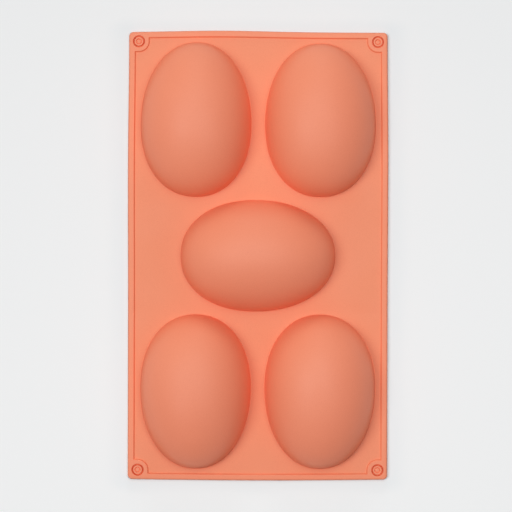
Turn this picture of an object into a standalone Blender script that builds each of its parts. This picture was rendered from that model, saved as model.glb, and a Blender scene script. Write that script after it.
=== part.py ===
"""Silicone mould with five half-egg cups, lying mouth side down on its flat face.

The mould is one flexible moulding. It is divided here along its own feature lines: a flat web in four
panels, two narrow fold strips, a raised rim in eight bars and four corner pads, and five cups, each a
standing wall with a crown that is pressed in to push a casting out. Front is -Y and left is -X.
"""

import math

import bmesh
import bpy
from mathutils import Matrix, Vector

# Outer sizes, in metres
MOULD_LENGTH = 0.295
MOULD_WIDTH = 0.1706
OUTER_CORNER_RADIUS = 0.003
WEB_THICKNESS = 0.002
RIM_THICKNESS = 0.0032
RIM_WIDTH = 0.0042
RIM_EDGE_RADIUS = 0.0008

# One cup: half an egg, turned about its long axis, with its blunt and pointed ends in the mouth plane
CUP_HALF_LENGTH = 0.0504
CUP_HALF_WIDTH = 0.0362
CUP_WALL = 0.0018
EGG_FULLNESS = 2.12
EGG_TAPER = 0.042
CROWN_SEAM_HEIGHT = 0.027

# Places of the cups: one lies across the middle, and four stand round it with their blunt ends inward
CUP_COLUMN = 0.0408
CUP_ROW = 0.0892

# Corner pads, each with a ring groove and a dimple
PAD_SIDE = 0.0134
PAD_INNER_RADIUS = 0.0068
PAD_RING_INSET = 0.0066
PAD_RING_RADIUS = 0.00345
PAD_RING_GROOVE_RADIUS = 0.0004
PAD_DIMPLE_RADIUS = 0.0018
PAD_DIMPLE_DEPTH = 0.0005

# Clearance between neighbouring zones, which lets each one be its own solid. A fold strip runs close past
# the sides of the cups, and keeps a little more.
GAP = 0.0003
FOLD_CLEARANCE = 0.00036

# Fineness of the round shapes
PROFILE_STEPS = 24
TURN_STEPS = 24
ARC_STEPS = 6
RING_STEPS = 20
RING_TUBE_STEPS = 6

# Worked out from the above
HALF_LENGTH = MOULD_LENGTH / 2
HALF_WIDTH = MOULD_WIDTH / 2
FOLD_CENTRE_EDGE = CUP_HALF_WIDTH + FOLD_CLEARANCE
FOLD_OUTER_EDGE = CUP_ROW - CUP_HALF_LENGTH - FOLD_CLEARANCE
FOLD_LINE = (FOLD_CENTRE_EDGE + FOLD_OUTER_EDGE) / 2
FOLD_HEIGHT = RIM_THICKNESS / 2
CENTRE_EDGE = FOLD_CENTRE_EDGE - GAP
SECTION_EDGE = FOLD_OUTER_EDGE + GAP
RIM_LINE_X = HALF_WIDTH - RIM_WIDTH
RIM_LINE_Y = HALF_LENGTH - RIM_WIDTH
PAD_EDGE_X = HALF_WIDTH - PAD_SIDE
PAD_EDGE_Y = HALF_LENGTH - PAD_SIDE

CORAL = (0.93, 0.33, 0.19, 1.0)
CORAL_ROUGHNESS = 0.62

# Name, centre (x, y) and the direction of the pointed end, as an angle about +Z
CUPS = [
    ("centre", (0.0, 0.0), 0.0),
    ("front_left", (-CUP_COLUMN, -CUP_ROW), -math.pi / 2),
    ("front_right", (CUP_COLUMN, -CUP_ROW), -math.pi / 2),
    ("rear_left", (-CUP_COLUMN, CUP_ROW), math.pi / 2),
    ("rear_right", (CUP_COLUMN, CUP_ROW), math.pi / 2),
]


def clear_scene():
    for obj in list(bpy.data.objects):
        bpy.data.objects.remove(obj)


def new_collection(name):
    collection = bpy.data.collections.new(name)
    bpy.context.scene.collection.children.link(collection)
    return collection


def silicone(name):
    """Soft matte silicone, coloured right through."""
    material = bpy.data.materials.new(name)
    material.use_nodes = True
    shader = material.node_tree.nodes["Principled BSDF"]
    shader.inputs["Base Color"].default_value = CORAL
    shader.inputs["Roughness"].default_value = CORAL_ROUGHNESS
    shader.inputs["Metallic"].default_value = 0.0
    material.diffuse_color = CORAL
    return material


def new_object(name, mesh, collection):
    obj = bpy.data.objects.new(name, mesh)
    collection.objects.link(obj)
    return obj


def finish_part(obj, joint_axis=None):
    """Gives a part its silicone, and hangs it on the empty of the joint that moves it."""
    obj.data.materials.append(silicone(obj.name + "_silicone"))
    if joint_axis is not None:
        obj.parent = joint_axis
        obj.matrix_parent_inverse = joint_axis.matrix_world.inverted()
    return obj


def as_cutter(obj):
    obj.hide_render = True
    obj.display_type = "WIRE"
    return obj


def boolean(obj, operation, other):
    modifier = obj.modifiers.new(f"{operation.lower()} {other.name}", "BOOLEAN")
    modifier.operation = operation
    modifier.solver = "EXACT"
    modifier.object = other


def joint_empty(name, place, collection):
    empty = bpy.data.objects.new(name, None)
    empty.location = place
    empty.empty_display_size = 0.01
    collection.objects.link(empty)
    bpy.context.view_layer.update()
    return empty


def arc(centre, radius, start, end):
    """Points along an arc, ends included. Angles are in degrees."""
    points = []
    for step in range(ARC_STEPS + 1):
        angle = math.radians(start + (end - start) * step / ARC_STEPS)
        points.append((centre[0] + radius * math.cos(angle), centre[1] + radius * math.sin(angle)))
    return points


def extruded_outline(name, points, thickness, collection):
    """A flat outline in X and Y, thickened from Z = 0 upwards, as a welded mesh."""
    curve = bpy.data.curves.new(name + "_outline", "CURVE")
    curve.dimensions = "2D"
    curve.fill_mode = "BOTH"
    curve.extrude = thickness / 2
    spline = curve.splines.new("POLY")
    spline.points.add(len(points) - 1)
    for point, (x, y) in zip(spline.points, points):
        point.co = (x, y, 0.0, 1.0)
    spline.use_cyclic_u = True
    outline = new_object(name + "_outline", curve, collection)
    evaluated = outline.evaluated_get(bpy.context.evaluated_depsgraph_get())
    mesh = bpy.data.meshes.new_from_object(evaluated)
    mesh.name = name
    bpy.data.objects.remove(outline)
    mesh.transform(Matrix.Translation((0.0, 0.0, thickness / 2)))
    weld(mesh)
    return new_object(name, mesh, collection)


def weld(mesh):
    shape = bmesh.new()
    shape.from_mesh(mesh)
    bmesh.ops.remove_doubles(shape, verts=shape.verts, dist=1e-6)
    bmesh.ops.recalc_face_normals(shape, faces=shape.faces)
    shape.to_mesh(mesh)
    shape.free()


def box(name, low, high, collection):
    """A box between two corners."""
    shape = bmesh.new()
    bmesh.ops.create_cube(shape, size=1.0)
    size = Vector(high) - Vector(low)
    middle = (Vector(high) + Vector(low)) / 2
    bmesh.ops.scale(shape, vec=size, verts=shape.verts)
    bmesh.ops.translate(shape, vec=middle, verts=shape.verts)
    mesh = bpy.data.meshes.new(name)
    shape.to_mesh(mesh)
    shape.free()
    return new_object(name, mesh, collection)


def egg_profile(half_length, half_width):
    """Half of an egg's outline, from its blunt end at -X to its pointed end at +X."""
    power = 2 / EGG_FULLNESS
    points = []
    for step in range(PROFILE_STEPS + 1):
        angle = math.pi * step / PROFILE_STEPS
        cosine = math.cos(angle)
        along = -math.copysign(abs(cosine) ** power, cosine)
        across = max(math.sin(angle), 0.0) ** power if 0 < step < PROFILE_STEPS else 0.0
        points.append((along * half_length, across * half_width * (1 - EGG_TAPER * along)))
    return points


def egg(name, centre, heading, growth, collection):
    """A whole solid egg, lying on its side with its long axis in the mouth plane."""
    points = egg_profile(CUP_HALF_LENGTH + growth, CUP_HALF_WIDTH + growth)
    mesh = bpy.data.meshes.new(name)
    edges = [(i, i + 1) for i in range(len(points) - 1)]
    mesh.from_pydata([(x, y, 0.0) for x, y in points], edges, [])
    obj = new_object(name, mesh, collection)
    obj.location = (centre[0], centre[1], 0.0)
    obj.rotation_euler = (0.0, 0.0, heading)
    screw = obj.modifiers.new("turn", "SCREW")
    screw.axis = "X"
    screw.angle = 2 * math.pi
    screw.steps = TURN_STEPS
    screw.render_steps = TURN_STEPS
    screw.use_merge_vertices = True
    screw.merge_threshold = 1e-6
    screw.use_normal_calculate = True
    screw.use_smooth_shade = True
    return obj


def slab(name, low, high, cutters):
    """A block wider than the mould, between two heights."""
    reach = MOULD_LENGTH
    return as_cutter(box(name, (-reach, -reach, low), (reach, reach, high), cutters))


def cup(name, centre, heading, section_axis, parts, cutters):
    """A cup's standing wall, and the crown that closes its top."""
    hollow = as_cutter(egg(name + "_hollow", centre, heading, -CUP_WALL, cutters))
    below = slab(name + "_wall_slab", 0.0, CROWN_SEAM_HEIGHT - GAP / 2, cutters)
    above = slab(name + "_crown_slab", CROWN_SEAM_HEIGHT + GAP / 2, CUP_HALF_WIDTH * 2, cutters)

    wall = egg(name + "_cup_wall", centre, heading, 0.0, parts)
    boolean(wall, "DIFFERENCE", hollow)
    boolean(wall, "INTERSECT", below)
    finish_part(wall, section_axis)

    crown = egg(name + "_crown", centre, heading, 0.0, parts)
    boolean(crown, "DIFFERENCE", hollow)
    boolean(crown, "INTERSECT", above)
    finish_part(crown)


def web_panel(name, low, high, openings, section_axis, parts):
    """A panel of the flat web between two corners (x, y), with its neighbours cut away."""
    panel = box(name, (low[0], low[1], 0.0), (high[0], high[1], WEB_THICKNESS), parts)
    for opening in openings:
        boolean(panel, "DIFFERENCE", opening)
    return finish_part(panel, section_axis)


def rim_bar(name, start, end, outward, section_axis, parts):
    """A bar of the raised rim from start to end (x, y on its inner edge), rounded on its outer edges.

    outward is the angle about +Z, in degrees, from the middle of the mould towards this edge.
    """
    reach = RIM_WIDTH - GAP / 2
    radius = RIM_EDGE_RADIUS
    section = [(0.0, 0.0)]
    section += arc((reach - radius, radius), radius, -90, 0)
    section += arc((reach - radius, RIM_THICKNESS - radius), radius, 0, 90)
    section += [(0.0, RIM_THICKNESS)]
    length = (Vector(end) - Vector(start)).length
    bar = extruded_outline(name, section, length, parts)
    stand_up = Matrix.Rotation(math.pi / 2, 4, "X")
    centred = Matrix.Translation((0.0, length / 2, 0.0))
    turn = Matrix.Rotation(math.radians(outward), 4, "Z")
    middle = (Vector(start) + Vector(end)) / 2
    bar.data.transform(Matrix.Translation((middle.x, middle.y, 0.0)) @ turn @ centred @ stand_up)
    return finish_part(bar, section_axis)


def pad_outline(growth):
    """A corner pad's outline, its outer corner at (0, 0) and its rounded corner at +X and +Y."""
    side = PAD_SIDE + growth
    inner = PAD_INNER_RADIUS + growth
    outer = OUTER_CORNER_RADIUS
    points = [(side, 0.0)]
    points += arc((side - inner, side - inner), inner, 0, 90)
    points += [(0.0, side)]
    points += arc((outer, outer), outer, 180, 270)
    return points


def corner_mirror(side_x, side_y):
    """Moves a shape from a corner at (0, 0) to the mould's corner on those sides."""
    place = Matrix.Translation((side_x * HALF_WIDTH, side_y * HALF_LENGTH, 0.0))
    return place @ Matrix.Diagonal((-side_x, -side_y, 1.0, 1.0))


def mirrored(obj, matrix):
    """Applies a transform that may mirror, and turns the faces out again."""
    obj.data.transform(matrix)
    if matrix.determinant() < 0:
        obj.data.flip_normals()
    return obj


def ring_cutter(name, centre, cutters):
    """The ring groove's round-bottomed channel."""
    bpy.ops.mesh.primitive_torus_add(
        major_segments=RING_STEPS,
        minor_segments=RING_TUBE_STEPS,
        major_radius=PAD_RING_RADIUS,
        minor_radius=PAD_RING_GROOVE_RADIUS,
        location=(centre[0], centre[1], RIM_THICKNESS),
    )
    obj = bpy.context.object
    obj.name = name
    for collection in list(obj.users_collection):
        collection.objects.unlink(obj)
    cutters.objects.link(obj)
    return as_cutter(obj)


def dimple_cutter(name, centre, cutters):
    """A ball that touches the pad only with its lowest part."""
    ball_radius = (PAD_DIMPLE_RADIUS**2 + PAD_DIMPLE_DEPTH**2) / (2 * PAD_DIMPLE_DEPTH)
    shape = bmesh.new()
    bmesh.ops.create_uvsphere(shape, u_segments=RING_STEPS, v_segments=2 * RING_STEPS, radius=ball_radius)
    mesh = bpy.data.meshes.new(name)
    shape.to_mesh(mesh)
    shape.free()
    ball = new_object(name, mesh, cutters)
    ball.location = (centre[0], centre[1], RIM_THICKNESS - PAD_DIMPLE_DEPTH + ball_radius)
    return as_cutter(ball)


def corner_pad(name, side_x, side_y, section_axis, parts, cutters):
    pad = extruded_outline(name, pad_outline(-GAP / 2), RIM_THICKNESS, parts)
    mirrored(pad, corner_mirror(side_x, side_y))
    inset = PAD_RING_INSET
    centre = (side_x * (HALF_WIDTH - inset), side_y * (HALF_LENGTH - inset))
    boolean(pad, "DIFFERENCE", ring_cutter(name + "_ring", centre, cutters))
    boolean(pad, "DIFFERENCE", dimple_cutter(name + "_dimple", centre, cutters))
    return finish_part(pad, section_axis)


def pad_cutter(name, side_x, side_y, cutters):
    cutter = extruded_outline(name, pad_outline(GAP / 2), RIM_THICKNESS * 2, cutters)
    mirrored(cutter, corner_mirror(side_x, side_y))
    cutter.location.z = -RIM_THICKNESS / 2
    return as_cutter(cutter)


def fold_strip(name, side_y, parts):
    """The thin strip that bends between two rows of cups, as thick as the rim at its two ends."""
    radius = RIM_EDGE_RADIUS
    right = arc((HALF_WIDTH - radius, radius), radius, -90, 0)
    right += arc((HALF_WIDTH - radius, RIM_THICKNESS - radius), radius, 0, 90)
    right += [(RIM_LINE_X, RIM_THICKNESS), (RIM_LINE_X, WEB_THICKNESS)]
    left = [(-x, z) for x, z in reversed(right)]
    width = FOLD_OUTER_EDGE - FOLD_CENTRE_EDGE
    strip = extruded_outline(name, right + left, width, parts)
    stand_up = Matrix.Rotation(math.pi / 2, 4, "X")
    shift = Matrix.Translation((0.0, side_y * FOLD_LINE + width / 2, 0.0))
    strip.data.transform(shift @ stand_up)
    return finish_part(strip)


def centre_section(holes, parts):
    """The panels and rim bars on both sides of the middle cup."""
    inner_line = RIM_LINE_X - GAP / 2
    edge = CENTRE_EDGE
    web_panel("centre_left_web", (-inner_line, -edge), (0.0, edge), holes, None, parts)
    web_panel("centre_right_web", (0.0, -edge), (inner_line, edge), holes, None, parts)
    rim_line = RIM_LINE_X + GAP / 2
    rim_bar("centre_left_rim", (-rim_line, -edge), (-rim_line, edge), 180, None, parts)
    rim_bar("centre_right_rim", (rim_line, -edge), (rim_line, edge), 0, None, parts)


def end_section(row, side_y, section_axis, holes, parts, cutters):
    """One end of the mould beyond a fold: its web panel, rim bars and corner pads."""
    pad_cutters = [
        pad_cutter(f"{row}_left_pad_cut", -1, side_y, cutters),
        pad_cutter(f"{row}_right_pad_cut", 1, side_y, cutters),
    ]
    inner_line = RIM_LINE_X - GAP / 2
    ends = sorted((side_y * SECTION_EDGE, side_y * (RIM_LINE_Y - GAP / 2)))
    low, high = (-inner_line, ends[0]), (inner_line, ends[1])
    web_panel(f"{row}_web", low, high, holes + pad_cutters, section_axis, parts)

    rim_line = RIM_LINE_X + GAP / 2
    side_start = side_y * SECTION_EDGE
    side_end = side_y * (PAD_EDGE_Y - GAP / 2)
    for column, side_x, outward in (("left", -1, 180), ("right", 1, 0)):
        x = side_x * rim_line
        rim_bar(f"{row}_{column}_rim", (x, side_start), (x, side_end), outward, section_axis, parts)
        corner_pad(f"{row}_{column}_pad", side_x, side_y, section_axis, parts, cutters)

    y = side_y * (RIM_LINE_Y + GAP / 2)
    reach = PAD_EDGE_X - GAP / 2
    rim_bar(f"{row}_rim", (-reach, y), (reach, y), side_y * 90, section_axis, parts)


def build():
    clear_scene()
    parts = new_collection("egg_mould")
    cutters = new_collection("cutters")

    axes = {
        "centre": None,
        "front": joint_empty("front_fold_axis", (0.0, -FOLD_LINE, FOLD_HEIGHT), parts),
        "rear": joint_empty("rear_fold_axis", (0.0, FOLD_LINE, FOLD_HEIGHT), parts),
    }
    holes = {"centre": [], "front": [], "rear": []}
    for name, centre, heading in CUPS:
        row = name.split("_")[0]
        holes[row].append(as_cutter(egg(name + "_web_hole", centre, heading, GAP, cutters)))
        cup(name, centre, heading, axes[row], parts, cutters)

    centre_section(holes["centre"], parts)
    end_section("front", -1, axes["front"], holes["front"], parts, cutters)
    end_section("rear", 1, axes["rear"], holes["rear"], parts, cutters)
    fold_strip("front_fold_strip", -1, parts)
    fold_strip("rear_fold_strip", 1, parts)


build()
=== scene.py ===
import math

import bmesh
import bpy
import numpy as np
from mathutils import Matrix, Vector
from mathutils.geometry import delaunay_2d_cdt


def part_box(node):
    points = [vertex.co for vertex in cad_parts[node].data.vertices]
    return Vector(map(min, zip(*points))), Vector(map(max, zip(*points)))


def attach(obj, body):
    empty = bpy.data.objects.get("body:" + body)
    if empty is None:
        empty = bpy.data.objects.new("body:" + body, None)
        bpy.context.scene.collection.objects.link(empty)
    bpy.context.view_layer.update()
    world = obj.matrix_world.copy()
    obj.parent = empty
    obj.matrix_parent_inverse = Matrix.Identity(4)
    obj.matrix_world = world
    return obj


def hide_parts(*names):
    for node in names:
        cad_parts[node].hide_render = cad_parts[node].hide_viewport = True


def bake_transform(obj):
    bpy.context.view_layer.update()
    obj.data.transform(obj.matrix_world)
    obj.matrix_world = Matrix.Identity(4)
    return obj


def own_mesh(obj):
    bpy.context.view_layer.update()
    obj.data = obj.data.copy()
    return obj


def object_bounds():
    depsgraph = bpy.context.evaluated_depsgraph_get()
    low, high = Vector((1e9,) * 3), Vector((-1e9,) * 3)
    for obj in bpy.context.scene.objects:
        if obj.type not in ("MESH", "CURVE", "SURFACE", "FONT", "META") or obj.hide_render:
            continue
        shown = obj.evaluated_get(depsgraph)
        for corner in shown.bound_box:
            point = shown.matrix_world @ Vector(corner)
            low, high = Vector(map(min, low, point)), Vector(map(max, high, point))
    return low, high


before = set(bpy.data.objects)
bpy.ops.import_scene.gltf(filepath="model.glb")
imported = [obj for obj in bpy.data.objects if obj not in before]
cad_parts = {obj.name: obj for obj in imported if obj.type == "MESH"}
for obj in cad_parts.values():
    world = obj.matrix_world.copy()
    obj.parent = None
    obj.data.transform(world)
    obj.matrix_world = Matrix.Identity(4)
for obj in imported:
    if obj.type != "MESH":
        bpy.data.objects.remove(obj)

# The looks of a silicone mould with five half-egg cups, lying mouth side down on a pale floor.
#
# Every CAD zone is replaced by a finely made piece of the same place. The flat sheet (web panels, fold
# strips, rim bars and corner pads) is one drawing in X and Y, triangulated once and dealt out to its
# pieces, so that neighbours share every point along their seams. A cup is three pieces made of loops
# round the egg: its foot, with the fillet into the web and the mouth's edge; its side; and its crown cap.

CAD_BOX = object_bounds()
MM = 0.001


def between(low_node, high_node, axis):
    """The middle of the gap between two CAD nodes that are neighbours along an axis."""
    return (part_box(low_node)[1][axis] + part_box(high_node)[0][axis]) / 2


# Places, read from the frame
HALF_WIDTH = CAD_BOX[1].x
HALF_LENGTH = CAD_BOX[1].y
WEB_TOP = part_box("front_web")[1].z
RIM_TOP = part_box("front_rim")[1].z
RIM_LINE_X = between("centre_right_web", "centre_right_rim", 0)
RIM_LINE_Y = between("rear_web", "rear_rim", 1)
PAD_EDGE_X = between("rear_rim", "rear_right_pad", 0)
PAD_EDGE_Y = between("rear_right_rim", "rear_right_pad", 1)
CROWN_SEAM = between("centre_cup_wall", "centre_crown", 2)

# The egg that every cup follows; the middle one is a touch fuller and less pointed than the rest
EGG_FULLNESS = 2.12
CUP_WALL = 1.8 * MM
CUP_SIZE = (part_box("centre_cup_wall")[1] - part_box("centre_cup_wall")[0]) / 2
MIDDLE_EGG = {"longer": 0.3 * MM, "wider": 0.3 * MM, "taper": 0.030}
CORNER_EGG = {"longer": 0.2 * MM, "wider": 0.0, "taper": 0.042}

# Small forms on a cup
ROOT_FILLET = 0.45 * MM
COLLAR = 0.4 * MM
MOUTH_EDGE = 0.5 * MM
FOOT_TOP = RIM_TOP

# Small forms on the sheet
OUTER_CORNER = 3.0 * MM
EDGE_DRAFT = 0.4 * MM
EDGE_FOOT = 0.9 * MM
EDGE_SHOULDER = 2.3 * MM
TOP_EDGE = 1.3 * MM
BOTTOM_EDGE = 0.5 * MM
PAD_CORNER = 6.8 * MM
RING_INSET = 6.6 * MM
RING_RADIUS = 3.45 * MM
RING_WIDTH = 0.72 * MM
RING_WALL = 0.22 * MM
RING_DEPTH = 1.8 * MM
DIMPLE_RADIUS = 1.6 * MM
DIMPLE_WALL = 0.4 * MM
DIMPLE_DEPTH = 0.8 * MM
DIMPLE_BOSS = 0.6
STEP_HALF = 0.42 * MM
# Painted shade along the foot of the step: its strength, and its reach from the step's middle in
# half-widths of the step
STEP_SHADE = 0.25
STEP_SHADE_REACH = 1.5
WEB_SEAM = 0.6 * MM
FOLD_MARGIN = 0.03 * MM
FOLD_NEAR = CUP_SIZE.y + MIDDLE_EGG["wider"] + COLLAR + FOLD_MARGIN
FOLD_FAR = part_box("rear_left_cup_wall")[0].y - CORNER_EGG["longer"] - COLLAR - FOLD_MARGIN
FOLD_LINE = (FOLD_NEAR + FOLD_FAR) / 2
FOLD_HALF = (FOLD_FAR - FOLD_NEAR) / 2
FOLD_DIP = 0.05 * MM
CROWN_GAP = 0.01 * MM

# How the soft sheet lies. A swell is a height, then its middle and its spread as shares of a half side.
# A ripple is a length, then where in its wave it starts.
SIDE_SWELL = (0.30 * MM, 0.36, 0.34)
SIDE_INSET = 0.06 * MM
REAR_PINCH = 0.32 * MM
PINCH_START = 0.45
PINCH_LENGTH = 0.5
REAR_SWELL = (1.10 * MM, -0.29, 0.49)
REAR_INSET = 0.75 * MM
FRONT_OUTSET = 0.10 * MM
FRONT_SAG = 0.75 * MM
SIDE_BOW_POWER = 3
END_BOW_POWER = 6
RIPPLE_HEIGHT = 0.22 * MM
RIPPLE_ACROSS = (19.0 * MM, 0.8)
RIPPLE_ALONG = (23.0 * MM, 0.5)
RIPPLE_SLANTING = (13.0 * MM, 0.0)
SLANT_SHARE = 0.35
RIPPLE_FOLD_FADE = 7.0 * MM
RIPPLE_CUP_REACH = 1.06
RIPPLE_CUP_FADE = 0.25

# Fineness
LOOP_POINTS = 144
DOME_RING = math.radians(1.7)
SHARP_ANGLE = math.radians(50)
FILLET_STEPS = 5
DRAFT_STEPS = 2
EDGE_STEPS = 6
STEP_STEPS = 4
GROOVE_STEPS = 3
DIMPLE_STEPS = 4
CORNER_STEPS = 14
FOLD_STEPS = 6
FOLD_SPACING = 1.6 * MM
SIDE_SPACING = 2.5 * MM
WEB_SPACING = 3.6 * MM
LOOP_CLEARANCE = 1.3 * MM
RING_POINTS = 56
EGG_SAMPLES = 6001
EGG_TIP = 0.999
SLOPE_STEP = 5e-4
SAME_HEIGHT = 0.001 * MM
SAME_POINT = 1e-7

# How far each cup is turned about the vertical; at 0 its pointed end is at +X
CUPS = {
    "centre": 0.0,
    "front_left": -math.pi / 2,
    "front_right": -math.pi / 2,
    "rear_left": math.pi / 2,
    "rear_right": math.pi / 2,
}


# ---- helpers -------------------------------------------------------------------------------------------


def smooth(t):
    """0 to 1 with level ends."""
    t = np.clip(t, 0.0, 1.0)
    return t * t * (3.0 - 2.0 * t)


def fall(t):
    """A quarter circle's drop: 1 at t = 0, 0 at t = 1, tangent to level at 1."""
    t = np.clip(t, 0.0, 1.0)
    return 1.0 - np.sqrt(np.clip(1.0 - (1.0 - t) ** 2, 0.0, 1.0))


def inside_polygon(points, polygon):
    """Which of the points (n, 2) lie inside a closed polygon."""
    x, y = points[:, 0], points[:, 1]
    result = np.zeros(len(points), bool)
    for (x0, y0), (x1, y1) in zip(polygon, np.roll(polygon, -1, axis=0)):
        if y0 == y1:
            continue
        crosses = (y0 > y) != (y1 > y)
        result ^= crosses & (x < x0 + (y - y0) * (x1 - x0) / (y1 - y0))
    return result


def body_of(name):
    """The body that carries a zone: its row's section."""
    return name.split("_")[0] + "_section"


def new_piece(name, vertices, faces, material, body, replaced):
    """A closed piece with its faces turned out, riding on a body in place of a CAD node."""
    mesh = bpy.data.meshes.new(name)
    mesh.from_pydata([tuple(v) for v in relaxed(vertices)], [], faces)
    shape = bmesh.new()
    shape.from_mesh(mesh)
    bmesh.ops.recalc_face_normals(shape, faces=shape.faces)
    shape.to_mesh(mesh)
    shape.free()
    mesh.shade_smooth()
    mesh.set_sharp_from_angle(angle=SHARP_ANGLE)
    mesh.materials.append(material)
    obj = bpy.data.objects.new(name, mesh)
    bpy.context.scene.collection.objects.link(obj)
    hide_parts(replaced)
    if body is not None:
        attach(obj, body)
    return obj


# ---- how the soft sheet lies ---------------------------------------------------------------------------


def relaxed(vertices):
    """The slight unevenness of a soft sheet: sides that bow a little, and a web that isn't quite flat.

    Nothing moves along Y near the folds, and the cups keep their heights, so seams stay closed in motion.
    """
    points = np.array(vertices, float).reshape(-1, 3)
    x, y = points[:, 0].copy(), points[:, 1].copy()
    across, along = x / HALF_WIDTH, y / HALF_LENGTH
    pinch = REAR_PINCH * smooth((along - PINCH_START) / PINCH_LENGTH)
    side_bow = swell(along, *SIDE_SWELL) - pinch - SIDE_INSET
    rear_bow = swell(across, *REAR_SWELL) - REAR_INSET
    front_bow = FRONT_OUTSET - FRONT_SAG * across**2
    points[:, 0] += side_bow * across**SIDE_BOW_POWER
    points[:, 1] += np.where(y > 0, rear_bow, -front_bow) * along**END_BOW_POWER

    hollows = wave(x, *RIPPLE_ACROSS) * wave(y, *RIPPLE_ALONG)
    ripple = (1.0 + hollows) / 2 + SLANT_SHARE * (1.0 + wave(x + y, *RIPPLE_SLANTING))
    clear_of_folds = smooth((fold_distance(y) - FOLD_HALF) / RIPPLE_FOLD_FADE)
    points[:, 2] += RIPPLE_HEIGHT * ripple * away_from_cups(x, y) * clear_of_folds
    return points


def swell(place, height, middle, spread):
    """A rounded bulge of a height at the middle, which dies away over the spread."""
    return height * np.exp(-(((place - middle) / spread) ** 2))


def wave(place, length, start):
    """A wave between -1 and 1 that turns by one radian over the length."""
    return np.sin(place / length + start)


def fold_distance(y):
    """Distance along the mould from the nearest fold line."""
    return np.abs(np.abs(y) - FOLD_LINE)


def away_from_cups(x, y):
    """0 in a cup and at its root, 1 well out on the web."""
    share = np.ones(len(x))
    for name in CUPS:
        low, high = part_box(name + "_cup_wall")
        middle, half = (low + high) / 2, (high - low) / 2
        reach = np.hypot((x - middle.x) / half.x, (y - middle.y) / half.y)
        share *= smooth((reach - RIPPLE_CUP_REACH) / RIPPLE_CUP_FADE)
    return share


# ---- material nodes ------------------------------------------------------------------------------------


def add_node(tree, kind, inputs, **settings):
    """A new shader node. Each of its inputs is a plain value, or the output of another node."""
    node = tree.nodes.new("ShaderNode" + kind)
    for setting, value in settings.items():
        setattr(node, setting, value)
    for socket, value in inputs.items():
        if isinstance(value, bpy.types.NodeSocket):
            tree.links.new(value, node.inputs[socket])
        else:
            node.inputs[socket].default_value = value
    return node


def ramp(tree, source, *stops):
    """Colours that run between two stops, each a position and a colour."""
    node = add_node(tree, "ValToRGB", {"Fac": source})
    for element, (position, colour) in zip(node.color_ramp.elements, stops):
        element.position = position
        element.color = colour
    return node.outputs["Color"]


def multiplied(tree, first, second):
    """Two colours multiplied."""
    inputs = {"Factor": 1.0, "A": first, "B": second}
    node = add_node(tree, "Mix", inputs, data_type="RGBA", blend_type="MULTIPLY")
    return node.outputs["Result"]


def vector_math(tree, operation, *values):
    """The vector that an operation makes of one or two vectors."""
    node = add_node(tree, "VectorMath", dict(enumerate(values)), operation=operation)
    return node.outputs["Vector"]


def noise(tree, place, scale, detail, roughness):
    """Soft noise between 0 and 1."""
    inputs = {"Vector": place, "Scale": scale, "Detail": detail, "Roughness": roughness}
    return add_node(tree, "TexNoise", inputs).outputs["Fac"]


def grey(value):
    """An even grey, opaque."""
    return (value, value, value, 1.0)


# ---- silicone ------------------------------------------------------------------------------------------

SILICONE_IOR = 1.41
WHITE = grey(1.0)

# Each noise is its scale, in features to the metre, then its detail and its roughness
CLOUD_NOISE = (24.0, 3.0, 0.5)
SPECK_NOISE = (2600.0, 2.0, 0.6)
HANDLING_NOISE = (38.0, 2.0, 0.5)
GRAIN_NOISE = (4200.0, 3.0, 0.65)
PEEL_NOISE = (520.0, 2.0, 0.5)

# A ramp's two stops, each a position and a colour. A grey stands for the roughness of its value.
CLOUD_STOPS = ((0.30, (0.985, 0.970, 0.955, 1.0)), (0.70, WHITE))
SPECK_STOPS = ((0.32, (0.94, 0.91, 0.90, 1.0)), (0.52, WHITE))
# Painted shade in creases, from none to a deep orange
CREASE_SHADE_STOPS = ((0.0, WHITE), (1.0, (0.94, 0.66, 0.46, 1.0)))
ROUGHNESS_STOPS = ((0.25, grey(0.50)), (0.75, grey(0.60)))
GRAIN_BUMP = {"Strength": 0.10, "Distance": 0.06 * MM}
PEEL_BUMP = {"Strength": 0.12, "Distance": 0.12 * MM}

# The tones at the lower and the upper of two heights, and the two heights
SHEET_TONES = ((0.922, 0.297, 0.160, 1.0), (0.962, 0.306, 0.172, 1.0))
SHEET_LEVELS = (2.4 * MM, 3.2 * MM)
# On the cups the change of tone is painted light: the low flanks redder, a painted glow of light through
# the thin silicone in shade, and the crown greyer, a painted sheen
CUP_GLOW_AND_SHEEN_TONES = ((0.966, 0.296, 0.161, 1.0), (0.928, 0.295, 0.172, 1.0))
CUP_GLOW_AND_SHEEN_LEVELS = (8.0 * MM, 36.0 * MM)


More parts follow.
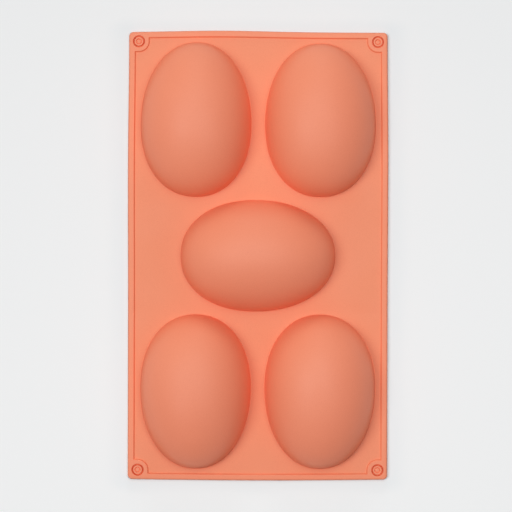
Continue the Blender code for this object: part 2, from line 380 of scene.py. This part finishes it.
def silicone(name, tones, levels):
    """Matte moulded silicone, coral right through, with clouds of pigment and the tool's blasted grain.

    Its tone changes between two heights; on the cups this is painted light, a redder glow low on the
    flanks and a greyer sheen on the crown. Painted shade darkens it in the ring grooves and at the foot
    of the step, where a piece's attribute marks them.
    """
    material = bpy.data.materials.new(name)
    material.use_nodes = True
    tree = material.node_tree
    shader = tree.nodes["Principled BSDF"]
    shader.inputs["Metallic"].default_value = 0.0
    shader.inputs["IOR"].default_value = SILICONE_IOR
    place = add_node(tree, "TexCoord", {}).outputs["Object"]

    # Tone by height; on the cups this is painted glow low down and painted sheen on the crown
    height = add_node(tree, "SeparateXYZ", {"Vector": place}).outputs["Z"]
    between_levels = {"Value": height, "From Min": levels[0], "From Max": levels[1]}
    share = add_node(tree, "MapRange", between_levels).outputs["Result"]
    tone = ramp(tree, share, (0.0, tones[0]), (1.0, tones[1]))
    # Painted shade in the ring grooves and at the foot of the step, as each piece's attribute gives it
    crease_shade = add_node(tree, "Attribute", {}, attribute_name="crease_shade").outputs["Fac"]
    tone = multiplied(tree, tone, ramp(tree, crease_shade, *CREASE_SHADE_STOPS))
    clouds = ramp(tree, noise(tree, place, *CLOUD_NOISE), *CLOUD_STOPS)
    specks = ramp(tree, noise(tree, place, *SPECK_NOISE), *SPECK_STOPS)
    colour = multiplied(tree, multiplied(tree, tone, clouds), specks)
    tree.links.new(colour, shader.inputs["Base Color"])

    # Patches that have been handled are a touch smoother than the rest
    handling = ramp(tree, noise(tree, place, *HANDLING_NOISE), *ROUGHNESS_STOPS)
    tree.links.new(handling, shader.inputs["Roughness"])

    # The fine grain of the blasted tool, over a slow orange peel
    grain = {"Height": noise(tree, place, *GRAIN_NOISE), **GRAIN_BUMP}
    grain_normal = add_node(tree, "Bump", grain).outputs["Normal"]
    peel = {"Height": noise(tree, place, *PEEL_NOISE), "Normal": grain_normal, **PEEL_BUMP}
    tree.links.new(add_node(tree, "Bump", peel).outputs["Normal"], shader.inputs["Normal"])
    return material


SHEET_SILICONE = silicone("coral_sheet", SHEET_TONES, SHEET_LEVELS)
CUP_SILICONE = silicone("coral_cup", CUP_GLOW_AND_SHEEN_TONES, CUP_GLOW_AND_SHEEN_LEVELS)


# ---- cups ----------------------------------------------------------------------------------------------


class Egg:
    """An egg turned about its long axis, which lies at height 0, with its pointed end at +X."""

    def __init__(self, half_length, half_width, taper):
        self.half_length = half_length
        self.half_width = half_width
        self.taper = taper
        self.u = -np.cos(np.linspace(0.0, math.pi, EGG_SAMPLES))
        self.w = self.width(self.u)
        self.peak = int(np.argmax(self.w))
        self.top = self.w[self.peak]

    def width(self, u):
        """Half the egg's width at u, which runs from -1 at the blunt end to 1 at the pointed end."""
        round_part = np.clip(1.0 - np.abs(u) ** EGG_FULLNESS, 0.0, None) ** (1.0 / EGG_FULLNESS)
        return self.half_width * round_part * (1.0 - self.taper * u)

    def loop(self, height):
        """The level line round the egg at a height, as points (x, y, height)."""
        blunt = np.interp(height, self.w[: self.peak + 1], self.u[: self.peak + 1])
        pointed = np.interp(-height, -self.w[self.peak :], self.u[self.peak :])
        turn = np.arange(LOOP_POINTS) * 2.0 * math.pi / LOOP_POINTS
        u = (blunt + pointed) / 2 + (pointed - blunt) / 2 * np.cos(turn)
        across = np.sqrt(np.clip(self.width(u) ** 2 - height**2, 0.0, None))
        side = np.where(np.sin(turn) >= 0, 1.0, -1.0)
        across[[0, LOOP_POINTS // 2]] = 0.0
        return np.column_stack([u * self.half_length, across * side, np.full(LOOP_POINTS, height)])

    def offset_loop(self, outward, height):
        """The mouth line moved straight outward by a distance and lifted to a height."""
        base = self.loop(0.0)
        along = np.roll(base, -1, axis=0) - np.roll(base, 1, axis=0)
        normal = np.column_stack([along[:, 1], -along[:, 0]])
        normal /= np.linalg.norm(normal, axis=1)[:, None]
        moved = base.copy()
        moved[:, :2] += normal * outward
        moved[:, 2] = height
        return moved

    def rise(self, low, high):
        """Heights from low to high, spaced evenly along the dome."""
        start, end = math.asin(low / self.top), math.asin(min(high / self.top, 1.0))
        steps = max(2, math.ceil((end - start) / DOME_RING))
        return [self.top * math.sin(start + (end - start) * i / steps) for i in range(steps + 1)]

    def apex(self):
        """The egg's highest point."""
        return np.array([[self.u[self.peak] * self.half_length, 0.0, self.top]])

    def normals(self, points):
        """The dome's own normals at points on it."""
        u = np.clip(points[:, 0] / self.half_length, -EGG_TIP, EGG_TIP)
        w = self.width(u)
        change = self.width(u + SLOPE_STEP) - self.width(u - SLOPE_STEP)
        slope = change / (2.0 * SLOPE_STEP * self.half_length)
        normal = np.column_stack([-w * slope, points[:, 1], points[:, 2]])
        return normal / np.linalg.norm(normal, axis=1)[:, None]


def cup_eggs(name):
    """The outer and inner egg of a cup."""
    kind = MIDDLE_EGG if name == "centre" else CORNER_EGG
    length, width = CUP_SIZE.x + kind["longer"], CUP_SIZE.y + kind["wider"]
    outer = Egg(length, width, kind["taper"])
    return outer, Egg(length - CUP_WALL, width - CUP_WALL, kind["taper"])


def ring_faces(first, second):
    """Four-sided faces between two rings of points, given the index each ring starts at."""
    faces = []
    for i in range(LOOP_POINTS):
        j = (i + 1) % LOOP_POINTS
        faces.append((first + i, first + j, second + j, second + i))
    return faces


def fan_faces(tip, ring):
    """Triangles from one point out to a ring of points, given the index the ring starts at."""
    return [(tip, ring + i, ring + (i + 1) % LOOP_POINTS) for i in range(LOOP_POINTS)]


def tube(loops):
    """A closed ring-shaped solid whose cross-section passes through all the loops in turn."""
    faces = []
    for i in range(len(loops)):
        faces += ring_faces(i * LOOP_POINTS, (i + 1) % len(loops) * LOOP_POINTS)
    return np.concatenate(loops), faces


def dome(tip, loops, inner_tip):
    """A closed shell from its tip out through the loops and back to the tip inside."""
    faces = fan_faces(0, 1)
    for i in range(len(loops) - 1):
        faces += ring_faces(1 + i * LOOP_POINTS, 1 + (i + 1) * LOOP_POINTS)
    last = 1 + len(loops) * LOOP_POINTS
    faces += fan_faces(last, last - LOOP_POINTS)
    return np.concatenate([tip, *loops, inner_tip]), faces


def foot_loops(outer, inner):
    """From the top of the foot down the fillet, under the mouth face and up inside the cup."""
    inset = outer.half_width - math.sqrt(outer.half_width**2 - (WEB_TOP + ROOT_FILLET) ** 2)
    loops = [outer.loop(h) for h in reversed(outer.rise(WEB_TOP + ROOT_FILLET, FOOT_TOP)[1:])]
    for step in range(FILLET_STEPS + 1):
        angle = math.pi / 2 * step / FILLET_STEPS
        outward = ROOT_FILLET * (1.0 - math.cos(angle)) - inset
        loops.append(outer.offset_loop(outward, WEB_TOP + ROOT_FILLET * (1.0 - math.sin(angle))))
    loops.append(outer.offset_loop(COLLAR, WEB_TOP))
    loops.append(outer.offset_loop(COLLAR, 0.0))
    for step in range(FILLET_STEPS + 1):
        angle = math.pi / 2 * step / FILLET_STEPS
        outward = MOUTH_EDGE * (1.0 - math.sin(angle))
        loops.append(inner.offset_loop(outward, MOUTH_EDGE * (1.0 - math.cos(angle))))
    loops += [inner.loop(h) for h in inner.rise(MOUTH_EDGE, FOOT_TOP)[1:]]
    return loops


def wall_loops(outer, inner):
    """From the top of the foot up the outside of the cup, and back down its inside."""
    top = CROWN_SEAM - CROWN_GAP
    outside = [outer.loop(h) for h in outer.rise(FOOT_TOP, top)]
    inside = [inner.loop(h) for h in inner.rise(FOOT_TOP, top)]
    return outside + inside[::-1]


def crown_loops(outer, inner):
    """From just below the outer tip down to the crown's edge, and back up inside."""
    outside = [outer.loop(h) for h in outer.rise(CROWN_SEAM, outer.top)[:-1]]
    inside = [inner.loop(h) for h in inner.rise(CROWN_SEAM, inner.top)[:-1]]
    return outside[::-1] + inside


def cup_transform(name):
    """Turns and moves points from the egg's own place to a cup's."""
    low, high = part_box(name + "_cup_wall")
    middle = (low + high) / 2
    cosine, sine = math.cos(CUPS[name]), math.sin(CUPS[name])
    turn = np.array([[cosine, -sine, 0.0], [sine, cosine, 0.0], [0.0, 0.0, 1.0]])
    return turn, np.array([middle.x, middle.y, 0.0])


def share_dome_normals(obj, local, turn, outer, inner):
    """Gives the dome's points its true normals, so that no seam shows between wall and crown."""
    on_dome = local[:, 2] > FOOT_TOP - SAME_HEIGHT
    radius = np.hypot(local[:, 1], local[:, 2])
    own = outer.width(np.clip(local[:, 0] / outer.half_length, -1, 1))
    outside = np.abs(radius - own) < CUP_WALL / 3
    normals = np.where(outside[:, None], outer.normals(local), -inner.normals(local))
    plain = np.array([tuple(v.normal) for v in obj.data.vertices])
    normals = np.where(on_dome[:, None], normals @ turn.T, plain)
    obj.data.normals_split_custom_set_from_vertices([tuple(n) for n in normals])


def build_cup(name):
    """A cup's foot and its wall, on the row's section, and its crown cap, on a body of its own."""
    turn, middle = cup_transform(name)
    eggs = cup_eggs(name)
    outer, inner = eggs

    def piece(part, local, faces, body, node):
        return new_piece(f"{name}_{part}", local @ turn.T + middle, faces, CUP_SILICONE, body, node)

    local, faces = tube(foot_loops(*eggs))
    piece("cup_foot", local, faces, body_of(name), name + "_cup_wall")

    local, faces = tube(wall_loops(*eggs))
    wall = piece("cup_side", local, faces, body_of(name), name + "_cup_wall")
    share_dome_normals(wall, local, turn, *eggs)
    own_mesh(wall)

    local, faces = dome(outer.apex(), crown_loops(*eggs), inner.apex())
    crown = piece("crown_cap", local, faces, name + "_crown", name + "_crown")
    share_dome_normals(crown, local, turn, *eggs)


# ---- the sheet: web, folds, rim and pads ---------------------------------------------------------------


def spread(start, end, spacing):
    """Points from start to just before end, evenly spaced."""
    start, end = np.array(start, float), np.array(end, float)
    count = max(1, round(float(np.linalg.norm(end - start)) / spacing))
    return [tuple(start + (end - start) * i / count) for i in range(count)]


def arc(centre, radius, start, end, steps):
    """Points along an arc from start to just before end, in degrees."""
    points = []
    for i in range(steps):
        angle = math.radians(start + (end - start) * i / steps)
        points.append((centre[0] + radius * math.cos(angle), centre[1] + radius * math.sin(angle)))
    return points


def four_corners(corner):
    """A closed outline from its +X +Y corner's points, which run from the +X side to the +Y side."""
    turned = []
    for side_x, side_y in ((1, 1), (-1, 1), (-1, -1), (1, -1)):
        points = [(side_x * x, side_y * y) for x, y in corner]
        turned.append(points if side_x * side_y > 0 else points[::-1])
    outline = []
    for i, points in enumerate(turned):
        outline += points
        outline += spread(points[-1], turned[(i + 1) % 4][0], SIDE_SPACING)[1:]
    return outline


def outer_outline(inset):
    """The mould's outline, moved inward."""
    radius = OUTER_CORNER - inset
    centre = (HALF_WIDTH - OUTER_CORNER, HALF_LENGTH - OUTER_CORNER)
    last = (centre[0], centre[1] + radius)
    return four_corners(arc(centre, radius, 0, 90, CORNER_STEPS) + [last])


def web_outline(inset):
    """The foot of the step round the web, passing inside the four pads, moved inward."""
    edge_x, edge_y = RIM_LINE_X - inset, RIM_LINE_Y - inset
    pad_x, pad_y = PAD_EDGE_X - inset, PAD_EDGE_Y - inset
    radius = PAD_CORNER + inset
    centre = (pad_x + radius, pad_y + radius)
    corner = spread((edge_x, pad_y), (centre[0], pad_y), WEB_SEAM)
    corner += arc(centre, radius, 270, 180, CORNER_STEPS)
    corner += spread((pad_x, centre[1]), (pad_x, edge_y), WEB_SEAM) + [(pad_x, edge_y)]
    return four_corners(corner)


def web_depth(x, y):
    """Distance in from the foot of the step, positive on the web and negative on the rim and pads."""
    ax, ay = np.abs(x), np.abs(y)
    vx, vy = PAD_EDGE_X + PAD_CORNER - ax, PAD_EDGE_Y + PAD_CORNER - ay
    beyond = np.hypot(np.maximum(vx, 0), np.maximum(vy, 0)) + np.minimum(np.maximum(vx, vy), 0)
    return np.minimum(np.minimum(RIM_LINE_X - ax, RIM_LINE_Y - ay), beyond - PAD_CORNER)


def edge_depth(x, y):
    """Distance in from the mould's outline."""
    vx = np.abs(x) - (HALF_WIDTH - OUTER_CORNER)
    vy = np.abs(y) - (HALF_LENGTH - OUTER_CORNER)
    beyond = np.hypot(np.maximum(vx, 0), np.maximum(vy, 0)) + np.minimum(np.maximum(vx, vy), 0)
    return OUTER_CORNER - beyond


def ring_distance(x, y):
    """Distance from the middle of the nearest pad's ring."""
    return np.hypot(np.abs(x) - (HALF_WIDTH - RING_INSET), np.abs(y) - (HALF_LENGTH - RING_INSET))


def top_height(x, y):
    """Height of the upper side: web, step up to the rim, edge, grooves and dimples."""
    step = smooth((STEP_HALF - web_depth(x, y)) / (2 * STEP_HALF))
    height = WEB_TOP + (RIM_TOP - WEB_TOP) * step
    height = height - RIM_TOP + edge_height(edge_depth(x, y))
    height -= FOLD_DIP * step * smooth(2.0 - fold_distance(y) / FOLD_HALF)
    return height - RING_DEPTH * groove_share(x, y) - DIMPLE_DEPTH * dimple_share(x, y)


def groove_share(x, y):
    """1 at the bottom of a pad's ring groove, 0 outside it."""
    off_middle = np.abs(ring_distance(x, y) - RING_RADIUS)
    return smooth((RING_WIDTH / 2 + RING_WALL - off_middle) / RING_WALL)


def dimple_share(x, y):
    """1 at the foot of a pad's dimple, less on the boss inside it, 0 outside."""
    away = ring_distance(x, y)
    pit = smooth((DIMPLE_RADIUS + DIMPLE_WALL - away) / DIMPLE_WALL)
    return pit - DIMPLE_BOSS * smooth((DIMPLE_RADIUS - away) / DIMPLE_WALL)


def edge_height(depth):
    """Height of the mould's edge: a steep side that leans in a little, then a rounded shoulder."""
    side = EDGE_FOOT + (EDGE_SHOULDER - EDGE_FOOT) * np.clip(depth / EDGE_DRAFT, 0.0, 1.0)
    round_part = fall((depth - EDGE_DRAFT) / (TOP_EDGE - EDGE_DRAFT))
    return np.where(depth < EDGE_DRAFT, side, RIM_TOP - (RIM_TOP - EDGE_SHOULDER) * round_part)


def bottom_height(x, y):
    """Height of the underside, which is flat inside a small rounded edge."""
    return BOTTOM_EDGE * fall(edge_depth(x, y) / BOTTOM_EDGE)


def circle(centre, radius):
    """Points round a circle."""
    return arc(centre, radius, 0, 360, RING_POINTS)


def pad_circles():
    """Circles that follow the ring groove and the dimple on each pad."""
    radii = [DIMPLE_RADIUS / 2, RING_RADIUS]
    for side in (-1, 1):
        for i in range(GROOVE_STEPS + 1):
            radii.append(RING_RADIUS + side * (RING_WIDTH / 2 + RING_WALL * i / GROOVE_STEPS))
    for i in range(-DIMPLE_STEPS, DIMPLE_STEPS + 1):
        radii.append(DIMPLE_RADIUS + DIMPLE_WALL * i / DIMPLE_STEPS)
    circles = []
    for side_x in (-1, 1):
        for side_y in (-1, 1):
            centre = (side_x * (HALF_WIDTH - RING_INSET), side_y * (HALF_LENGTH - RING_INSET))
            circles += [circle(centre, radius) for radius in radii]
    return circles


def collar(name):
    """The line where a cup's foot meets the web."""
    turn, middle = cup_transform(name)
    return (cup_eggs(name)[0].offset_loop(COLLAR, 0.0) @ turn.T + middle)[:, :2]


def seam_lines():
    """Open lines that divide the sheet: across the folds, and across the rim beside each pad."""
    lines = []
    for side in (-1, 1):
        for i in range(FOLD_STEPS + 1):
            y = side * (FOLD_NEAR + 2 * FOLD_HALF * i / FOLD_STEPS)
            lines.append(spread((-HALF_WIDTH, y), (HALF_WIDTH, y), FOLD_SPACING) + [(HALF_WIDTH, y)])
    x, y = PAD_EDGE_X - WEB_SEAM, PAD_EDGE_Y - WEB_SEAM
    for side_x in (-1, 1):
        for side_y in (-1, 1):
            inner = RIM_LINE_Y - WEB_SEAM
            lines.append([(side_x * x, side_y * inner), (side_x * x, side_y * HALF_LENGTH)])
            inner = RIM_LINE_X - WEB_SEAM
            lines.append([(side_x * inner, side_y * y), (side_x * HALF_WIDTH, side_y * y)])
    return lines


def web_points(loops):
    """Points on the web in staggered rows, as in equal-sided triangles, clear of every line drawn on it."""
    row_spacing = WEB_SPACING * math.sqrt(0.75)
    across = np.arange(-HALF_WIDTH, HALF_WIDTH, WEB_SPACING)
    along = np.arange(-HALF_LENGTH, HALF_LENGTH, row_spacing)
    grid = np.array([(x + WEB_SPACING / 2 * (i % 2), y) for i, y in enumerate(along) for x in across])
    keep = web_depth(grid[:, 0], grid[:, 1]) > WEB_SEAM + LOOP_CLEARANCE
    keep &= fold_distance(grid[:, 1]) > FOLD_HALF + LOOP_CLEARANCE
    for loop in loops:
        keep &= ~inside_polygon(grid, loop)
        nearest = np.min(np.linalg.norm(grid[:, None] - loop[None], axis=2), axis=1)
        keep &= nearest > LOOP_CLEARANCE
    return grid[keep]


def sheet_triangles():
    """The whole sheet as a flat triangulation: its points, and its triangles outside the cups."""
    collars = [collar(name) for name in CUPS]
    shoulder = TOP_EDGE - EDGE_DRAFT
    edge_insets = [EDGE_DRAFT * i / DRAFT_STEPS for i in range(DRAFT_STEPS)]
    edge_insets += [EDGE_DRAFT + shoulder * (i / EDGE_STEPS) ** 2 for i in range(EDGE_STEPS + 1)]
    step_insets = [STEP_HALF * i / STEP_STEPS for i in range(-STEP_STEPS, STEP_STEPS + 1)]
    step_insets += [-STEP_SHADE_REACH * STEP_HALF, WEB_SEAM]
    closed = [outer_outline(inset) for inset in edge_insets]
    closed += [web_outline(inset) for inset in step_insets]
    closed += [list(map(tuple, loop)) for loop in collars]
    closed += pad_circles()

    points, edges = [], []
    for line in closed:
        first = len(points)
        points += line
        edges += [(first + i, first + (i + 1) % len(line)) for i in range(len(line))]
    for line in seam_lines():
        first = len(points)
        points += line
        edges += [(first + i, first + i + 1) for i in range(len(line) - 1)]
    points += [tuple(p) for p in web_points(collars)]

    flat = [Vector(p) for p in points]
    all_inside_hull = 0
    made, _, triangles, _, _, _ = delaunay_2d_cdt(flat, edges, [], all_inside_hull, SAME_POINT)
    xy = np.array([tuple(p) for p in made])
    triangles = np.array([t for t in triangles if len(t) == 3])
    middles = xy[triangles].mean(axis=1)
    keep = edge_depth(middles[:, 0], middles[:, 1]) > 0
    for loop in collars:
        keep &= ~inside_polygon(middles, loop)
    return xy, triangles[keep], middles[keep]


def zone_names(middles):
    """The CAD node that each triangle of the sheet belongs to."""
    x, y = middles[:, 0], middles[:, 1]
    row = np.where(np.abs(y) < FOLD_NEAR, "centre", np.where(y > 0, "rear", "front"))
    column = np.where(x > 0, "right", "left")
    on_web = web_depth(x, y) > WEB_SEAM
    on_pad = (np.abs(x) > PAD_EDGE_X - WEB_SEAM) & (np.abs(y) > PAD_EDGE_Y - WEB_SEAM)
    on_fold = (np.abs(y) > FOLD_NEAR) & (np.abs(y) < FOLD_FAR)
    at_end = np.abs(y) > RIM_LINE_Y - WEB_SEAM
    names = []
    for i in range(len(middles)):
        if on_fold[i]:
            names.append(f"{row[i]}_fold_strip")
        elif on_web[i]:
            names.append(f"{row[i]}_{column[i]}_web" if row[i] == "centre" else f"{row[i]}_web")
        elif on_pad[i]:
            names.append(f"{row[i]}_{column[i]}_pad")
        elif at_end[i]:
            names.append(f"{row[i]}_rim")
        else:
            names.append(f"{row[i]}_{column[i]}_rim")
    return np.array(names)


def thickened(xy, triangles):
    """A closed solid over the triangles, and how much painted shade each of its points gets, in the ring
    grooves and at the foot of the step.
    """
    used, index = np.unique(triangles, return_inverse=True)
    index = index.reshape(-1, 3)
    x, y = xy[used, 0], xy[used, 1]
    upper = np.column_stack([x, y, top_height(x, y)])
    lower = np.column_stack([x, y, bottom_height(x, y)])
    count = len(used)
    edges = np.concatenate([index[:, [0, 1]], index[:, [1, 2]], index[:, [2, 0]]])
    known = {tuple(e) for e in edges.tolist()}
    border = [(a, b) for a, b in known if (b, a) not in known]
    faces = index.tolist()
    faces += [(c + count, b + count, a + count) for a, b, c in index.tolist()]
    faces += [(a, a + count, b + count, b) for a, b in sorted(border)]
    # Painted shade at the foot of the step and in the ring grooves; none on the underside
    step = STEP_SHADE * smooth(STEP_SHADE_REACH - np.abs(web_depth(x, y)) / STEP_HALF)
    crease_shade = np.concatenate([np.maximum(groove_share(x, y), step), np.zeros(count)])
    return np.concatenate([upper, lower]), faces, crease_shade


def build_sheet():
    """The web panels, rim bars and pads, each on its section, and the fold strips between them, which are
    on no section.
    """
    xy, triangles, middles = sheet_triangles()
    names = zone_names(middles)
    for name in sorted(set(names)):
        vertices, faces, crease_shade = thickened(xy, triangles[names == name])
        body = None if name.endswith("fold_strip") else body_of(name)
        skin = new_piece(name + "_skin", vertices, faces, SHEET_SILICONE, body, name)
        # Each point's share of painted crease shade
        skin.data.attributes.new("crease_shade", "FLOAT", "POINT").data.foreach_set("value", crease_shade)
        if body is not None:
            continue
        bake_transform(skin)


# ---- studio --------------------------------------------------------------------------------------------

FLOOR_SIZE = 40.0
FLOOR_ROUGHNESS = 0.9
FLOOR_GLOSS = 0.1
FLOOR_COLOUR = (0.929, 0.942, 0.946)
FLOOR_UNEVENNESS = 0.005
FLOOR_CLOUDS = 3.0
# Painted light: shares of the floor's colour at the front and the rear, paler at the front where less light
# falls
FLOOR_PAINTED_LIGHT = (1.055, 0.963)
FLOOR_REACH = 0.165
# A faint painted shadow round the mould, cool so that it also takes out the red bounce light, and how far
# it reaches beyond the sides and the ends
CONTACT_SHADOW_TONE = (0.925, 0.945, 0.957, 1.0)
CONTACT_SHADOW_REACH = (18.0 * MM, 11.0 * MM)
FLOOR_DROP = 0.03 * MM
CAMERA_LENS = 150.0
CAMERA_SENSOR = 36.0
VIEW_WIDTH = 0.3359
VIEW_OFFSET = (-1.28 * MM, -0.16 * MM)
CAMERA_ROLL = math.radians(0.14)
ROOM_LIGHT = 0.154

# Each point of the film's curve is a brightness and the tone it gives
FILM_CURVE = ((0.35, 0.35), (0.60, 0.620), (0.81, 0.81))
FILM_WHITE = 0.955

# Azimuth and elevation in degrees, distance and size in metres, power in watts
LIGHTS = {
    "left_light": (270.0, 60.0, 3.0, 1.2, 34.5),
    "rear_light": (0.0, 60.0, 3.0, 1.2, 10.0),
    "low_rear_light": (0.0, 15.0, 3.0, 0.8, 12.2),
    "near_right_light": (90.0, 74.0, 1.09, 0.4, 2.57),
    "near_rear_light": (0.0, 74.7, 1.14, 0.4, 1.54),
}


def floor_paint():
    """Pale matt paint, faintly uneven, with painted light that makes it paler toward the front, where less
    light falls.

    A faint painted shadow lies close round the mould, cool in tone so that it also takes out the mould's
    red bounce light, and fades away from it.
    """
    material = bpy.data.materials.new("pale_floor")
    material.use_nodes = True
    tree = material.node_tree
    shader = tree.nodes["Principled BSDF"]
    shader.inputs["Roughness"].default_value = FLOOR_ROUGHNESS
    shader.inputs["Specular IOR Level"].default_value = FLOOR_GLOSS
    place = add_node(tree, "TexCoord", {}).outputs["Object"]

    clouds = add_node(tree, "TexNoise", {"Scale": FLOOR_CLOUDS}).outputs["Fac"]
    darker, paler = [
        tuple(share * channel for channel in FLOOR_COLOUR) + (1.0,)
        for share in (1.0 - FLOOR_UNEVENNESS, 1.0 + FLOOR_UNEVENNESS)
    ]
    colour = ramp(tree, clouds, (0.0, darker), (1.0, paler))

    # Painted light, paler toward the front
    along = add_node(tree, "SeparateXYZ", {"Vector": place}).outputs["Y"]
    places = {"From Min": -FLOOR_REACH, "From Max": FLOOR_REACH}
    shades = {"To Min": FLOOR_PAINTED_LIGHT[0], "To Max": FLOOR_PAINTED_LIGHT[1]}
    shade = add_node(tree, "MapRange", {"Value": along, **places, **shades}).outputs["Result"]
    scaled = add_node(tree, "VectorMath", {0: colour, "Scale": shade}, operation="SCALE")
    shaded = scaled.outputs["Vector"]

    # Painted shadow close round the mould, fading with distance from its outline
    away = vector_math(tree, "ABSOLUTE", place)
    away = vector_math(tree, "SUBTRACT", away, (HALF_WIDTH, HALF_LENGTH, 0.0))
    away = vector_math(tree, "MAXIMUM", away, (0.0, 0.0, 0.0))
    away = vector_math(tree, "MULTIPLY", away, (1.0 / CONTACT_SHADOW_REACH[0], 1.0 / CONTACT_SHADOW_REACH[1], 0.0))
    distance = add_node(tree, "VectorMath", {0: away}, operation="LENGTH").outputs["Value"]
    fade = add_node(tree, "MapRange", {"Value": distance}, interpolation_type="SMOOTHSTEP")
    contact_shadow = ramp(tree, fade.outputs["Result"], (0.0, CONTACT_SHADOW_TONE), (1.0, WHITE))
    tree.links.new(vector_math(tree, "MULTIPLY", shaded, contact_shadow), shader.inputs["Base Color"])
    return material


def floor():
    """A big flat board just under the mould."""
    mesh = bpy.data.meshes.new("floor")
    half = FLOOR_SIZE / 2
    corners = [(-half, -half, 0), (half, -half, 0), (half, half, 0), (-half, half, 0)]
    mesh.from_pydata(corners, [], [(0, 1, 2, 3)])
    mesh.materials.append(floor_paint())
    obj = bpy.data.objects.new("floor", mesh)
    obj.location.z = -FLOOR_DROP
    bpy.context.scene.collection.objects.link(obj)


def area_light(name, azimuth, elevation, distance, size, power):
    """A square soft light aimed at the mould. Azimuth 0 is over its rear end, 90 over its right side."""
    around, up = math.radians(azimuth), math.radians(elevation)
    flat = math.cos(up)
    place = distance * Vector((flat * math.sin(around), flat * math.cos(around), math.sin(up)))
    data = bpy.data.lights.new(name, "AREA")
    data.shape = "SQUARE"
    data.size = size
    data.energy = power
    obj = bpy.data.objects.new(name, data)
    obj.location = place
    obj.rotation_euler = (-place).to_track_quat("-Z", "Y").to_euler()
    bpy.context.scene.collection.objects.link(obj)


def studio():
    """Big soft lights at the left and rear, two small ones close overhead, and even light all round."""
    world = bpy.data.worlds.new("studio")
    world.use_nodes = True
    background = world.node_tree.nodes["Background"]
    background.inputs["Color"].default_value = (1.0, 1.0, 1.0, 1.0)
    background.inputs["Strength"].default_value = ROOM_LIGHT
    bpy.context.scene.world = world
    for name, (azimuth, elevation, distance, size, power) in LIGHTS.items():
        area_light(name, azimuth, elevation, distance, size, power)
    develop()


def develop():
    """A plain print with a film's soft shoulder: the brightest tones are held back a little."""
    view = bpy.context.scene.view_settings
    view.view_transform = "Standard"
    view.use_curve_mapping = True
    _, _, _, all_channels = view.curve_mapping.curves
    all_channels.points[-1].location = (1.0, FILM_WHITE)
    for light, tone in FILM_CURVE:
        all_channels.points.new(light, tone)
    view.curve_mapping.update()


def camera():
    """Straight above, far off, with the mould's length along the picture's height."""
    data = bpy.data.cameras.new("camera")
    data.lens = CAMERA_LENS
    data.sensor_width = CAMERA_SENSOR
    data.dof.use_dof = False
    obj = bpy.data.objects.new("camera", data)
    height = RIM_TOP + VIEW_WIDTH * CAMERA_LENS / CAMERA_SENSOR
    obj.location = (VIEW_OFFSET[0], VIEW_OFFSET[1], height)
    obj.rotation_euler = (0.0, 0.0, CAMERA_ROLL)
    bpy.context.scene.collection.objects.link(obj)
    bpy.context.scene.camera = obj


camera()
studio()
floor()
build_sheet()
for cup_name in CUPS:
    build_cup(cup_name)
